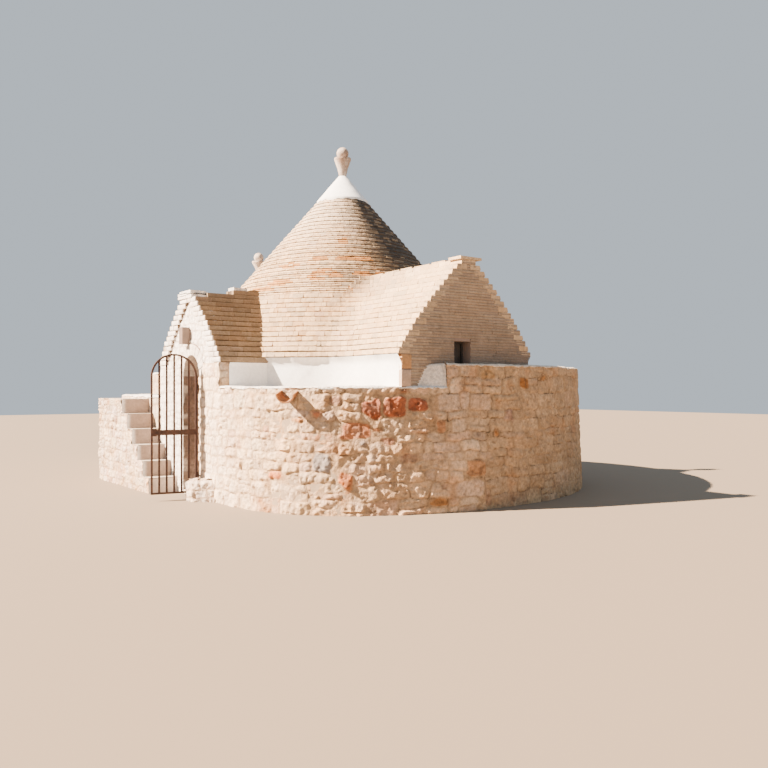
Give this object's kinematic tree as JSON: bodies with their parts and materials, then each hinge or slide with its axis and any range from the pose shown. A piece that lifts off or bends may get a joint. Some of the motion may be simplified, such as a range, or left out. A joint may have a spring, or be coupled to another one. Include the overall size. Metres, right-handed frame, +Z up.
{
  "type": "trullo house",
  "caption": "Small dry-stone trullo house with a corbelled cone, two gabled wings, a second cone, an outside stair and an open iron gate.",
  "frame": {"origin": "on the ground, on the main cone's axis, at the underside of the room's floor", "axes": "+Z up, +X towards the side wing's gable, -Y out of the entrance facade"},
  "size_m": [10.26, 7.571, 5.6782],
  "materials": {
    "roof_slabs": "matte",
    "rubble": "matte",
    "dressed_stone": "matte",
    "stone_floor": "matte",
    "limewash": "matte",
    "terracotta": "matte",
    "rusty_iron": "matte",
    "lamp_metal": "matte",
    "window_frame": "matte",
    "glass": "glossy"
  },
  "bodies": {
    "root": {"floor": "stone_floor", "front_wall_right": "rubble", "front_wall_curved": "rubble", "side_ring_wall": "rubble", "back_wall_right": "rubble", "back_wall_left": "rubble", "front_wall_far_left": "rubble", "terrace_wall": "rubble", "second_wall_front": "rubble", "second_wall_end": "rubble", "second_wall_back": "rubble", "second_wall_inner": "rubble", "drum_front_right": "limewash", "drum_back_right": "limewash", "drum_back_left": "limewash", "drum_front_left": "limewash", "second_drum": "limewash", "cone_roof": "roof_slabs", "inner_dome": "roof_slabs", "cone_tip": "limewash", "pinnacle_cup": "dressed_stone", "pinnacle_ball": "dressed_stone", "entrance_pier_left": "rubble", "entrance_pier_right": "rubble", "entrance_arch": "dressed_stone", "entrance_gable": "rubble", "entrance_roof": "roof_slabs", "entrance_cap_stone": "dressed_stone", "side_wing_wall_near": "limewash", "side_wing_wall_far": "limewash", "side_gable": "roof_slabs", "side_roof": "roof_slabs", "side_cap_stone": "dressed_stone", "side_window_frame": "window_frame", "side_window_pane": "glass", "second_roof": "roof_slabs", "second_tip": "limewash", "second_cup": "dressed_stone", "second_ball": "dressed_stone", "stair_mass": "rubble", "stair_treads": "dressed_stone", "jamb_foot": "rubble", "drain_spout": "terracotta", "door_lamp": "lamp_metal", "gate_pintles": "rusty_iron"},
    "gate": {"gate_leaf": "rusty_iron", "gate_rail": "rusty_iron", "gate_lock": "rusty_iron"}
  },
  "joints": [
    {"name": "gate_swing", "type": "hinge", "parent": "root", "child": "gate", "pos_m": [0.86, -2.955, 0.355], "axis": [0, 0, 1], "range_deg": [-82, 8]}
  ]
}
